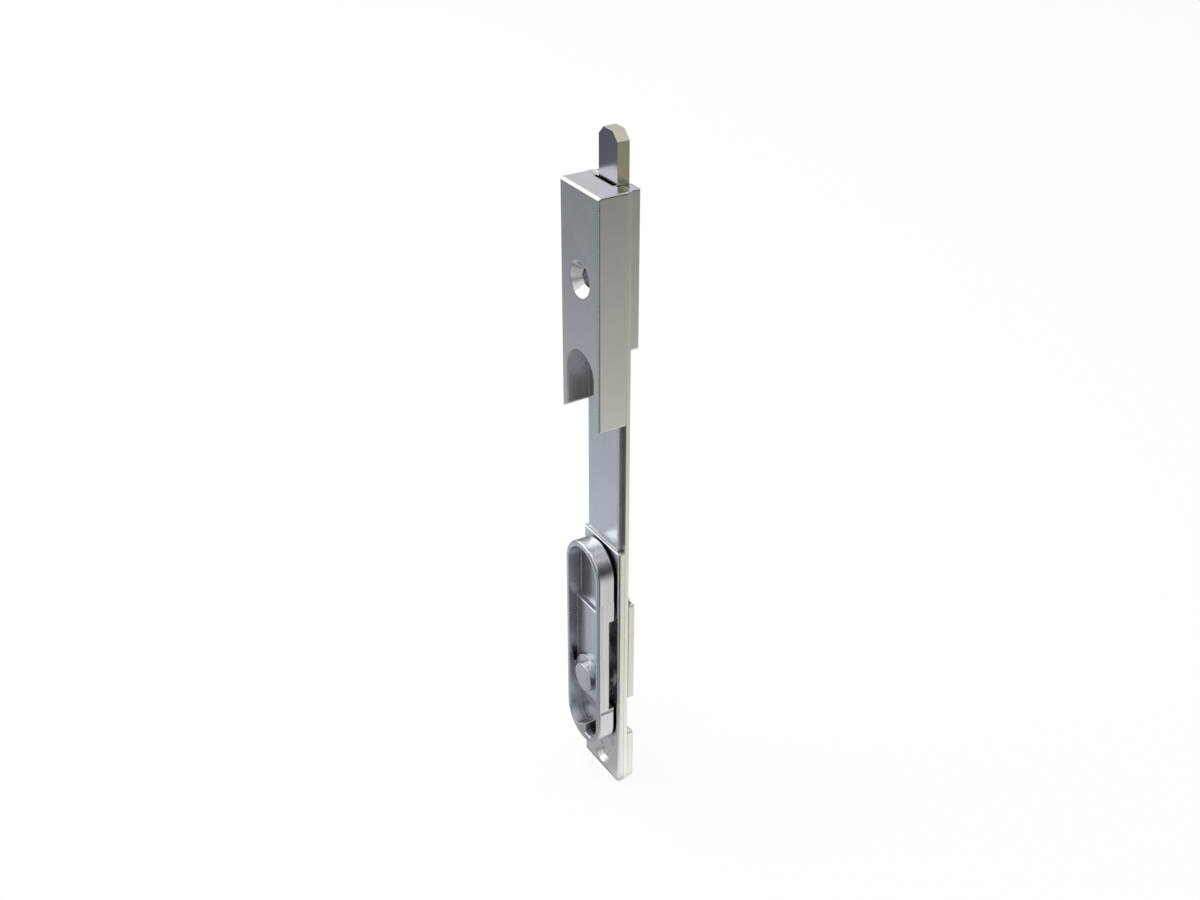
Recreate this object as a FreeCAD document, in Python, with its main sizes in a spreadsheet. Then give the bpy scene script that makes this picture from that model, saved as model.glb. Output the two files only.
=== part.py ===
import FreeCAD, Part
import os

import Sketcher

# Edge bolt: a flush lever bolt for a 16 mm hardware groove.
# The origin lies on the back of the face strip, midway between the two fixing holes.
# +Z points to the bolt tip, -Y to the lever and +X to the right of someone facing the lever.
# "Depth" means the distance in front of the strip's back face, so it grows towards -Y.

doc = FreeCAD.newDocument("EdgeBolt")
sheet = doc.addObject("Spreadsheet::Sheet", "Sizes")

SIZES = [
    # Strip that everything is fixed to
    ("hole_spacing", 134.0),
    ("top_margin", 21.0),
    ("bottom_margin", 4.6),
    ("body_width", 16.0),
    ("side_wall", 1.45),
    ("strip_thickness", 1.0),
    ("screw_hole", 4.3),
    # Clearances, and how far a cut runs past an open edge
    ("slide_gap", 0.05),
    ("pin_gap", 0.03),
    ("free_gap", 0.3),
    ("overrun", 1.0),
    # Bolt tip
    ("travel", 12.0),
    ("tip_side", 4.25),
    ("tip_thickness", 3.0),
    ("tip_height", 11.5),
    ("tip_chamfer", 2.0),
    # Bar that carries the tip
    ("bar_thickness", 1.2),
    ("fork_wall", 1.1),
    ("fork_margin", 0.9),
    ("fork_round", 0.7),
    ("fork_back_wall", 0.45),
    # Upper housing
    ("front_depth", 8.2),
    ("housing_length", 55.3),
    ("housing_front_wall", 1.6),
    ("housing_top_wall", 3.0),
    ("housing_round", 0.75),
    ("housing_side_round", 0.4),
    ("arch_side", 2.15),
    ("arch_height", 17.3),
    ("arch_flare", 1.5),
    ("arch_lip", 0.15),
    ("tip_slot_width", 7.8),
    ("tip_slot_depth", 1.75),
    ("tip_slot_shift", 0.8),
    ("upper_sink", 8.4),
    ("boss_width", 6.0),
    ("boss_head_side", 1.05),
    ("boss_head_length", 3.2),
    # Guide behind the strip
    ("guide_length", 37.0),
    ("guide_inset", 0.55),
    ("guide_thickness", 2.3),
    # Lever base
    ("base_skin", 0.5),
    ("base_round", 0.7),
    ("lower_sink", 7.0),
    ("base_window_gap", 0.6),
    # Blocks behind the strip; the cover's sizes run from the ends of the link's window
    ("block_thickness", 1.7),
    ("block_wall", 0.5),
    ("cover_ramp_rise", 3.15),
    ("cover_drop", 1.0),
    ("cover_foot", 9.35),
    ("lower_block_length", 13.9),
    ("lower_block_margin", 0.7),
    # Lever
    ("lever_inset", 0.3),
    ("lever_overhang", 0.5),
    ("lever_length", 59.2),
    ("lever_rise", 11.1),
    ("lever_gap", 0.6),
    ("lever_round", 0.55),
    ("lever_back_edge", 0.6),
    ("rim", 1.35),
    ("top_floor", 3.55),
    ("middle_floor", 2.3),
    ("boss_floor", 1.44),
    ("bottom_floor", 3.2),
    ("boss_front", 0.1),
    ("boss_ring", 2.05),
    ("collar_gap", 0.55),
    ("ramp_top", 18.8),
    ("ramp_bottom", 19.2),
    ("floor_step", 0.7),
    ("slope_top", 5.4),
    ("slope_bottom", 8.5),
    ("pocket_end", 2.4),
    ("gusset_side", 0.7),
    ("gusset_rise", 2.65),
    ("pit_floor", 4.0),
    ("grip_top", 19.5),
    ("grip_bottom", 13.0),
    ("grip_depth", 3.2),
    ("side_top", 13.8),
    ("side_bottom", 12.3),
    ("side_recess", 0.35),
    ("side_margin", 0.6),
    # Linkage
    ("hinge_inset", 0.8),
    ("hinge_rise", 1.2),
    ("hinge_pin", 1.5),
    ("hinge_ear", 1.93),
    ("hinge_lug_wall", 0.42),
    ("hinge_lug_gap", 0.15),
    ("hinge_lug_sweep", 0.95),
    ("hinge_pin_inset", 0.53),
    ("crank_length", 18.2),
    ("crank_pin", 1.8),
    ("knuckle_cheek", 1.9),
    ("knuckle_wall", 0.8),
    ("collar_wall", 0.75),
    ("bar_pin_setback", 0.25),
    ("bar_pin_height", 37.8),
    ("bar_pin", 1.9),
    ("bar_pin_float", 0.2),
    ("lost_motion", 2.4),
    ("link_side", 5.6),
    ("link_thickness", 1.8),
    ("eye_wall", 0.65),
    # Rivets
    ("rivet", 1.6),
    ("rivet_bite", 3.2),
    ("tip_rivet_inset", 1.55),
]


class Size:
    """A size or a sum of sizes, as a formula on the sheet and as its present value."""

    def __init__(self, formula, value):
        self.formula = formula
        self.value = value

    def join(self, sign, other, value):
        text = other.formula if isinstance(other, Size) else repr(other)
        return Size("(%s %s %s)" % (self.formula, sign, text), value)

    def __add__(self, other):
        return self.join("+", other, self.value + number(other))

    def __sub__(self, other):
        return self.join("-", other, self.value - number(other))

    def __mul__(self, other):
        return self.join("*", other, self.value * number(other))

    def __truediv__(self, other):
        return self.join("/", other, self.value / number(other))

    def __neg__(self):
        return Size("(0 - %s)" % self.formula, -self.value)


def number(amount):
    return amount.value if isinstance(amount, Size) else float(amount)


def bind(item, name, amount):
    """Tie a property to the sheet."""
    item.setExpression(name, amount.formula)


class Named:
    """Sizes by name."""


size = Named()
for row, (alias, amount) in enumerate(SIZES, start=1):
    sheet.set("A%d" % row, alias)
    sheet.set("B%d" % row, str(amount))
    sheet.setAlias("B%d" % row, alias)
    setattr(size, alias, Size("Sizes." + alias, amount))
doc.recompute()

ZERO = Size("0", 0.0)
ONE = Size("1", 1.0)


def hypotenuse(one, other):
    formula = "sqrt(%s ^ 2 + %s ^ 2)" % (one.formula, other.formula)
    return Size(formula, (one.value ** 2 + other.value ** 2) ** 0.5)


def leg(longest, other):
    formula = "sqrt(%s ^ 2 - %s ^ 2)" % (longest.formula, other.formula)
    return Size(formula, (longest.value ** 2 - other.value ** 2) ** 0.5)


# Heights and depths that several pieces share
top = size.hole_spacing / 2 + size.top_margin
bottom = -size.hole_spacing / 2 - size.bottom_margin
upper_hole = size.hole_spacing / 2
lower_hole = -size.hole_spacing / 2
half_width = size.body_width / 2
tip_width = size.body_width - size.tip_side * 2
tip_rivet_offset = tip_width / 2 - size.tip_rivet_inset
link_width = size.body_width - size.link_side * 2
housing_bottom = top - size.housing_length
bar_back = size.strip_thickness + size.slide_gap
bar_front = bar_back + size.bar_thickness
bar_channel = size.body_width - size.side_wall * 2
bar_width = bar_channel - size.slide_gap * 2
arch_half = half_width - size.arch_side
guide_half = half_width - size.guide_inset
tip_way_half = tip_width / 2 + size.slide_gap
side_rivet_offset = (guide_half + tip_way_half) / 2
channel_depth = bar_front + size.slide_gap
housing_inside = size.front_depth - size.housing_front_wall
tip_bottom = upper_hole + size.boss_width / 2 + size.slide_gap * 2 + size.travel
tip_way = tip_bottom - size.travel - size.slide_gap
bar_top = top - size.housing_top_wall - size.slide_gap * 2
tip_rivet_height = (bar_top + tip_bottom) / 2
housing_rivet_height = top - size.housing_top_wall / 2
guide_bottom = top - size.guide_length
base_front = channel_depth + size.base_skin
lever_bottom = bottom + size.lever_rise
lever_top = lever_bottom + size.lever_length
base_top = lever_top - size.lever_overhang
lever_back = base_front + size.lever_gap
lever_radius = half_width - size.lever_inset
rim_radius = lever_radius - size.rim
collar_radius = rim_radius - size.collar_gap
lever_high = lever_top - lever_radius
lever_low = lever_bottom + lever_radius
grip_plane = size.front_depth - size.grip_depth
hinge_height = lever_bottom + size.hinge_rise
hinge_depth = lever_back + size.hinge_inset
hinge_lug_radius = size.hinge_pin / 2 + size.pin_gap + size.hinge_lug_wall
hinge_chord = leg(lever_radius, lever_radius - size.hinge_rise)
hinge_lug = (hinge_chord - size.hinge_ear) * 2
hinge_pin_right = hinge_chord - size.hinge_pin_inset
crank_depth = grip_plane
knuckle_radius = size.crank_pin / 2 + size.knuckle_wall
bar_pin_depth = bar_back - size.bar_pin_setback
link_eye = size.bar_pin / 2 + size.eye_wall
crank_height = hinge_height + size.crank_length
bar_pin_height = hinge_height + size.bar_pin_height
fork_inside = link_width / 2 + size.free_gap
knuckle_half = fork_inside + size.knuckle_cheek
crank_pin_end = knuckle_half - size.free_gap
fork_slot_radius = size.bar_pin / 2 + size.bar_pin_float
fork_slot_low = bar_pin_height - size.free_gap
fork_slot_high = bar_pin_height + size.lost_motion
fork_bottom = fork_slot_low - fork_slot_radius - size.fork_margin
fork_top = fork_slot_high + fork_slot_radius + size.fork_margin
fork_back = bar_pin_depth - fork_slot_radius - size.fork_back_wall
bar_bottom = fork_bottom - size.fork_margin
window_half = fork_inside + size.fork_wall + size.free_gap
window_top = fork_top + size.free_gap
window_bottom = fork_bottom - size.travel - size.free_gap
cover_ramp_top = window_top + size.cover_ramp_rise
cover_top = window_top - size.cover_drop
cover_bottom = window_bottom - size.cover_foot
lower_block_bottom = bottom + size.lower_block_margin
lower_block_top = lower_block_bottom + size.lower_block_length
cover_rivet_height = (window_bottom + cover_bottom) / 2
block_rivet_height = (lower_block_top + lower_hole + size.lower_sink / 2) / 2

made = []


def new_body(label):
    body = doc.addObject("PartDesign::Body", label)
    body.Label = label
    made.append(body)
    return body


def new_sketch(body, role, offset=ZERO):
    """A sketch on one of the body's own planes, moved along that plane's normal."""
    sketch = body.newObject("Sketcher::SketchObject", body.Label + "_sketch")
    plane = [item for item in body.Origin.OriginFeatures if item.Role == role][0]
    sketch.AttachmentSupport = (plane, "")
    sketch.MapMode = "FlatFace"
    bind(sketch, "AttachmentOffset.Base.z", offset)
    return sketch


def limit(sketch, kind, places, amount):
    """Add one driving constraint and tie it to the sheet."""
    index = sketch.addConstraint(Sketcher.Constraint(kind, *places, amount.value))
    bind(sketch, "Constraints[%d]" % index, amount)


def hold_point(sketch, line, end, across, up):
    limit(sketch, "DistanceX", (-1, 1, line, end), across)
    limit(sketch, "DistanceY", (-1, 1, line, end), up)


def draw_outline(sketch, corners):
    """A closed outline of straight lines through corners given as (across, up)."""
    first = sketch.GeometryCount
    count = len(corners)
    for index in range(count):
        start = FreeCAD.Vector(corners[index][0].value, corners[index][1].value, 0)
        after = corners[(index + 1) % count]
        end = FreeCAD.Vector(after[0].value, after[1].value, 0)
        sketch.addGeometry(Part.LineSegment(start, end))
    for index in range(count):
        following = first + (index + 1) % count
        sketch.addConstraint(Sketcher.Constraint("Coincident", first + index, 2, following, 1))
        hold_point(sketch, first + index, 1, *corners[index])


def draw_rectangle(sketch, left, low, right, high):
    draw_outline(sketch, [(left, low), (right, low), (right, high), (left, high)])


def draw_circle(sketch, across, up, radius):
    centre = FreeCAD.Vector(across.value, up.value, 0)
    line = sketch.addGeometry(Part.Circle(centre, FreeCAD.Vector(0, 0, 1), radius.value))
    hold_point(sketch, line, 3, across, up)
    limit(sketch, "Radius", (line,), radius)


def draw_arc(sketch, centre, start, end):
    """An arc that runs anticlockwise from start to end."""
    middle = FreeCAD.Vector(centre[0].value, centre[1].value, 0)
    from_point = FreeCAD.Vector(start[0].value, start[1].value, 0) - middle
    to_point = FreeCAD.Vector(end[0].value, end[1].value, 0) - middle
    axis = FreeCAD.Vector(0, 0, 1)
    turn_x = FreeCAD.Vector(1, 0, 0)
    from_angle = turn_x.getAngle(from_point) * (1 if from_point.y >= 0 else -1)
    to_angle = turn_x.getAngle(to_point) * (1 if to_point.y >= 0 else -1)
    circle = Part.Circle(middle, axis, from_point.Length)
    line = sketch.addGeometry(Part.ArcOfCircle(circle, from_angle, to_angle))
    hold_point(sketch, line, 3, *centre)
    hold_point(sketch, line, 1, *start)
    if abs(to_point.x) > abs(to_point.y):
        limit(sketch, "DistanceY", (-1, 1, line, 2), end[1])
    else:
        limit(sketch, "DistanceX", (-1, 1, line, 2), end[0])
    return line


def draw_round_slot(sketch, across, low, high, radius):
    """An upright slot: low and high are the centres of its round ends."""
    upper = draw_arc(sketch, (across, high), (across + radius, high), (across - radius, high))
    lower = draw_arc(sketch, (across, low), (across - radius, low), (across + radius, low))
    join_arcs(sketch, upper, lower)
    join_arcs(sketch, lower, upper)


def join_arcs(sketch, before, after):
    """A straight line from the end of one arc to the start of the next."""
    start = sketch.getPoint(before, 2)
    end = sketch.getPoint(after, 1)
    line = sketch.addGeometry(Part.LineSegment(start, end))
    sketch.addConstraint(Sketcher.Constraint("Coincident", before, 2, line, 1))
    sketch.addConstraint(Sketcher.Constraint("Coincident", line, 2, after, 1))


def pad(body, sketch, length, midplane=False):
    """Add material from the sketch along its normal."""
    feature = body.newObject("PartDesign::Pad", body.Label + "_pad")
    feature.Profile = sketch
    feature.Midplane = midplane
    bind(feature, "Length", length)
    doc.recompute()
    return feature


def cut(body, sketch, length, forward=False, midplane=False):
    """Remove material behind the sketch, or in front of it, and make sure that some went."""
    before = body.Shape.Volume
    feature = body.newObject("PartDesign::Pocket", body.Label + "_cut")
    feature.Profile = sketch
    feature.Midplane = midplane
    feature.Reversed = forward
    bind(feature, "Length", length)
    doc.recompute()
    if not body.Shape.Volume < before:
        raise RuntimeError("a cut in %s removed nothing" % body.Label)
    return feature


def ease_edges(body, kind, amount_name, amount, wanted):
    """Fillet or chamfer the edges that the test picks."""
    base = body.Tip
    names = ["Edge%d" % (index + 1) for index, edge in enumerate(base.Shape.Edges) if wanted(edge)]
    feature = body.newObject("PartDesign::" + kind, body.Label + "_" + kind.lower())
    feature.Base = (base, names)
    bind(feature, amount_name, amount)
    doc.recompute()


def round_edges(body, radius, wanted):
    ease_edges(body, "Fillet", "Radius", radius, wanted)


def bevel_edges(body, width, wanted):
    ease_edges(body, "Chamfer", "Size", width, wanted)


def near(one, other):
    return abs(one - other) < 0.001


def at_depth(edge, depth):
    """True for an edge that lies all at this depth in front of the seat."""
    box = edge.BoundBox
    return near(box.YMin, -depth.value) and near(box.YMax, -depth.value)


def block(body, left, low, right, high, back, front):
    """A first rectangular pad between two depths."""
    sketch = new_sketch(body, "XZ_Plane", back)
    draw_rectangle(sketch, left, low, right, high)
    return pad(body, sketch, front - back)


def hole(body, across, up, width, back, front):
    """A round hole along Y between two depths."""
    sketch = new_sketch(body, "XZ_Plane", front)
    draw_circle(sketch, across, up, width / 2)
    return cut(body, sketch, front - back)


def countersink(body, up, wide, narrow, face):
    """A right-angled cone on the middle line, from the face at this depth back to the hole."""
    sketch = new_sketch(body, "YZ_Plane")
    deep = -face + (wide - narrow) / 2
    draw_outline(sketch, [(-face, up), (-face, up + wide / 2), (deep, up + narrow / 2), (deep, up)])
    axis = sketch.addGeometry(Part.LineSegment(*(FreeCAD.Vector(x, up.value, 0) for x in (0, 1))), True)
    sketch.addConstraint(Sketcher.Constraint("Horizontal", axis))
    limit(sketch, "DistanceY", (-1, 1, axis, 1), up)
    before = body.Shape.Volume
    groove = body.newObject("PartDesign::Groove", body.Label + "_sink")
    groove.Profile = sketch
    groove.ReferenceAxis = (sketch, ["Axis0"])
    groove.Angle = 360
    doc.recompute()
    if not body.Shape.Volume < before:
        raise RuntimeError("the countersink in %s removed nothing" % body.Label)


def rivet_holes(body, height, offset, back, front):
    for side in (-offset, offset):
        hole(body, side, height, size.rivet, back, front)


def tip_outline(sketch, low):
    """The bolt tip's outline, with its two upper corners cut off."""
    half = tip_width / 2
    high = top + size.tip_height
    draw_outline(sketch, [
        (-half, low), (half, low), (half, high - size.tip_chamfer),
        (half - size.tip_chamfer, high), (-half + size.tip_chamfer, high),
        (-half, high - size.tip_chamfer),
    ])


def make_face_strip():
    body = new_body("face_strip")
    block(body, -half_width, bottom, half_width, top, ZERO, size.strip_thickness)
    front = size.strip_thickness
    half = tip_width / 2 + size.free_gap
    sketch = new_sketch(body, "XZ_Plane", front)
    draw_rectangle(sketch, -half, tip_way, half, top + size.overrun)
    cut(body, sketch, front)
    sketch = new_sketch(body, "XZ_Plane", front)
    draw_rectangle(sketch, -window_half, window_bottom, window_half, window_top)
    cut(body, sketch, front)
    for height in (upper_hole, lower_hole):
        hole(body, ZERO, height, size.screw_hole, ZERO, front)
    for height in (housing_rivet_height, cover_rivet_height, block_rivet_height):
        rivet_holes(body, height, side_rivet_offset, ZERO, front)


def make_upper_housing():
    body = new_body("upper_housing")
    front = size.front_depth
    back = size.strip_thickness
    block(body, -half_width, housing_bottom, half_width, top, back, front)

    def top_front_edge(edge):
        return at_depth(edge, front) and near(edge.BoundBox.ZMin, top.value)

    def side_front_edge(edge):
        return at_depth(edge, front) and not near(edge.BoundBox.ZLength, 0)

    round_edges(body, size.housing_round, top_front_edge)
    round_edges(body, size.housing_side_round, side_front_edge)
    # Room for the bar, then the narrower hollow in front of it
    for half, depth in ((bar_channel / 2, channel_depth), (arch_half, housing_inside)):
        sketch = new_sketch(body, "XZ_Plane", back)
        draw_rectangle(sketch, -half, housing_bottom - size.overrun, half, top - size.housing_top_wall)
        cut(body, sketch, depth - back, forward=True)
    # Arch in the front wall, open at the bottom
    sketch = new_sketch(body, "XZ_Plane", front)
    draw_arch(sketch, arch_half, housing_bottom, housing_bottom + size.arch_height)
    cut(body, sketch, size.housing_front_wall)
    # Inner edges of the lower end, cut back to a thin lip
    sketch = new_sketch(body, "XZ_Plane", front)
    flare_half = half_width - size.arch_lip
    flare_top = housing_bottom + size.arch_flare
    draw_outline(sketch, [
        (-flare_half, housing_bottom), (flare_half, housing_bottom),
        (arch_half, flare_top), (-arch_half, flare_top),
    ])
    cut(body, sketch, front - back)
    # Boss that the screw clamps to the strip through the bar's slot
    sketch = new_sketch(body, "XZ_Plane", back)
    draw_circle(sketch, ZERO, upper_hole, size.boss_width / 2)
    pad(body, sketch, housing_inside - back)
    sketch = new_sketch(body, "XZ_Plane", front - size.boss_head_length)
    draw_circle(sketch, ZERO, upper_hole, arch_half - size.boss_head_side)
    pad(body, sketch, size.boss_head_length - size.housing_front_wall)
    hole(body, ZERO, upper_hole, size.screw_hole, back, front)
    countersink(body, upper_hole, size.upper_sink, size.screw_hole, front)
    # Shallow way for the tip, and the notch in front of it
    sketch = new_sketch(body, "XY_Plane", top)
    half = tip_width / 2 + size.free_gap
    draw_rectangle(sketch, -half, -bar_back - size.slide_gap, half, ZERO)
    cut(body, sketch, size.housing_top_wall)
    sketch = new_sketch(body, "XY_Plane", top)
    left = -size.tip_slot_width / 2 - size.tip_slot_shift
    draw_rectangle(sketch, left, -size.tip_slot_depth, left + size.tip_slot_width, ZERO)
    cut(body, sketch, size.housing_top_wall)
    rivet_holes(body, housing_rivet_height, side_rivet_offset, back, back + size.rivet_bite)


def draw_arch(sketch, half, low, high):
    """An opening with a half-round head and a straight lower end."""
    spring = high - half
    head = draw_arc(sketch, (ZERO, spring), (half, spring), (-half, spring))
    corners = [(-half, spring), (-half, low), (half, low), (half, spring)]
    previous = (head, 2)
    for index in range(3):
        start = FreeCAD.Vector(corners[index][0].value, corners[index][1].value, 0)
        end = FreeCAD.Vector(corners[index + 1][0].value, corners[index + 1][1].value, 0)
        line = sketch.addGeometry(Part.LineSegment(start, end))
        sketch.addConstraint(Sketcher.Constraint("Coincident", *previous, line, 1))
        if index:
            hold_point(sketch, line, 1, *corners[index])
        previous = (line, 2)
    sketch.addConstraint(Sketcher.Constraint("Coincident", *previous, head, 1))


def make_bolt_guide():
    body = new_body("bolt_guide")
    back = -size.guide_thickness
    block(body, -guide_half, guide_bottom, guide_half, top, back, ZERO)
    sketch = new_sketch(body, "XZ_Plane", ZERO)
    draw_rectangle(sketch, -tip_way_half, tip_way, tip_way_half, top + size.overrun)
    cut(body, sketch, size.guide_thickness)
    hole(body, ZERO, upper_hole, size.screw_hole, back, ZERO)
    rivet_holes(body, housing_rivet_height, side_rivet_offset, back, ZERO)


def make_drive_bar():
    body = new_body("drive_bar")
    half = bar_width / 2
    block(body, -half, bar_bottom, half, bar_top, bar_back, bar_front)
    # Two lugs bent back beside the link
    sketch = new_sketch(body, "YZ_Plane")
    draw_rectangle(sketch, -bar_front, fork_bottom, -fork_back, fork_top)
    pad(body, sketch, (fork_inside + size.fork_wall) * 2, midplane=True)

    def lug_corner(edge):
        return at_depth(edge, fork_back) and not near(edge.BoundBox.XLength, 0)

    round_edges(body, size.fork_round, lug_corner)
    sketch = new_sketch(body, "XZ_Plane", bar_front)
    draw_rectangle(sketch, -fork_inside, bar_bottom - size.overrun, fork_inside, fork_top)
    cut(body, sketch, bar_front - fork_back)
    sketch = new_sketch(body, "YZ_Plane")
    draw_round_slot(sketch, -bar_pin_depth, fork_slot_low, fork_slot_high, fork_slot_radius)
    cut(body, sketch, bar_width, midplane=True)
    # Slot round the housing's boss
    sketch = new_sketch(body, "XZ_Plane", bar_front)
    radius = size.boss_width / 2 + size.slide_gap * 2
    draw_round_slot(sketch, ZERO, upper_hole, upper_hole + size.travel, radius)
    cut(body, sketch, size.bar_thickness)
    rivet_holes(body, tip_rivet_height, tip_rivet_offset, bar_back, bar_front)


def make_bolt_tip():
    body = new_body("bolt_tip")
    sketch = new_sketch(body, "XZ_Plane", bar_back - size.tip_thickness)
    tip_outline(sketch, tip_bottom)
    pad(body, sketch, size.tip_thickness)
    back = bar_back - size.tip_thickness
    rivet_holes(body, tip_rivet_height, tip_rivet_offset, back, bar_back)


def make_lever_base():
    body = new_body("lever_base")
    back = size.strip_thickness
    front = base_front
    block(body, -half_width, bottom, half_width, base_top, back, front)

    def long_front_edge(edge):
        return at_depth(edge, front) and not near(edge.BoundBox.ZLength, 0)

    round_edges(body, size.base_round, long_front_edge)
    # Channel for the bar, then the window that the link works in
    sketch = new_sketch(body, "XZ_Plane", back)
    half = bar_channel / 2
    draw_rectangle(sketch, -half, window_bottom - size.fork_margin, half, base_top + size.overrun)
    cut(body, sketch, channel_depth - back, forward=True)
    sketch = new_sketch(body, "XZ_Plane", front)
    half = link_width / 2 + size.base_window_gap
    draw_rectangle(sketch, -half, crank_height, half, bar_pin_height + link_eye + size.free_gap)
    cut(body, sketch, front - back)
    # Hinge lug
    sketch = new_sketch(body, "YZ_Plane")
    radius = hinge_lug_radius
    lug = draw_arc(
        sketch, (-hinge_depth, hinge_height),
        (-hinge_depth, hinge_height + radius), (-hinge_depth, hinge_height - radius))
    draw_lug_sides(sketch, lug, -front, hinge_height - radius, hinge_height + radius)
    pad(body, sketch, hinge_lug, midplane=True)
    sketch = new_sketch(body, "YZ_Plane")
    draw_circle(sketch, -hinge_depth, hinge_height, size.hinge_pin / 2 + size.pin_gap)
    cut(body, sketch, hinge_lug, midplane=True)
    hole(body, ZERO, lower_hole, size.screw_hole, back, front)
    countersink(body, lower_hole, size.lower_sink, size.screw_hole, front)
    for height in (cover_rivet_height, block_rivet_height):
        rivet_holes(body, height, side_rivet_offset, back, front)


def draw_lug_sides(sketch, arc, foot, low, high):
    """Close a half-round lug with two straight sides and a foot."""
    corners = [(arc, 2), None, None, (arc, 1)]
    points = [
        sketch.getPoint(arc, 2), FreeCAD.Vector(foot.value, low.value, 0),
        FreeCAD.Vector(foot.value, high.value, 0), sketch.getPoint(arc, 1),
    ]
    heights = [low, high]
    previous = corners[0]
    for index in range(3):
        line = sketch.addGeometry(Part.LineSegment(points[index], points[index + 1]))
        sketch.addConstraint(Sketcher.Constraint("Coincident", *previous, line, 1))
        if index:
            hold_point(sketch, line, 1, foot, heights[index - 1])
        previous = (line, 2)
    sketch.addConstraint(Sketcher.Constraint("Coincident", *previous, *corners[3]))


def make_link_cover():
    body = new_body("link_cover")
    deep = size.block_thickness
    block(body, -half_width, cover_bottom, half_width, cover_top, -deep, ZERO)
    # Sloping top, a little narrower than the block
    sketch = new_sketch(body, "YZ_Plane")
    draw_outline(sketch, [
        (ZERO, cover_bottom), (deep, cover_bottom), (deep, cover_top), (ZERO, cover_ramp_top),
    ])
    pad(body, sketch, bar_width, midplane=True)
    # Room for the bar's lugs and the link
    sketch = new_sketch(body, "YZ_Plane")
    inside = size.block_thickness - size.block_wall
    slope = (cover_ramp_top - cover_top) / size.block_thickness
    peak = cover_ramp_top - hypotenuse(slope, ONE) * size.block_wall
    ceiling = peak - slope * inside
    draw_outline(sketch, [(ZERO, window_bottom), (inside, window_bottom), (inside, ceiling), (ZERO, peak)])
    cut(body, sketch, window_half * 2, midplane=True)
    back = -size.block_thickness
    rivet_holes(body, cover_rivet_height, side_rivet_offset, back, ZERO)


def make_lower_block():
    body = new_body("lower_block")
    back = -size.block_thickness
    block(body, -half_width, lower_block_bottom, half_width, lower_block_top, back, ZERO)
    hole(body, ZERO, lower_hole, size.screw_hole, back, ZERO)
    rivet_holes(body, block_rivet_height, side_rivet_offset, back, ZERO)


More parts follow.
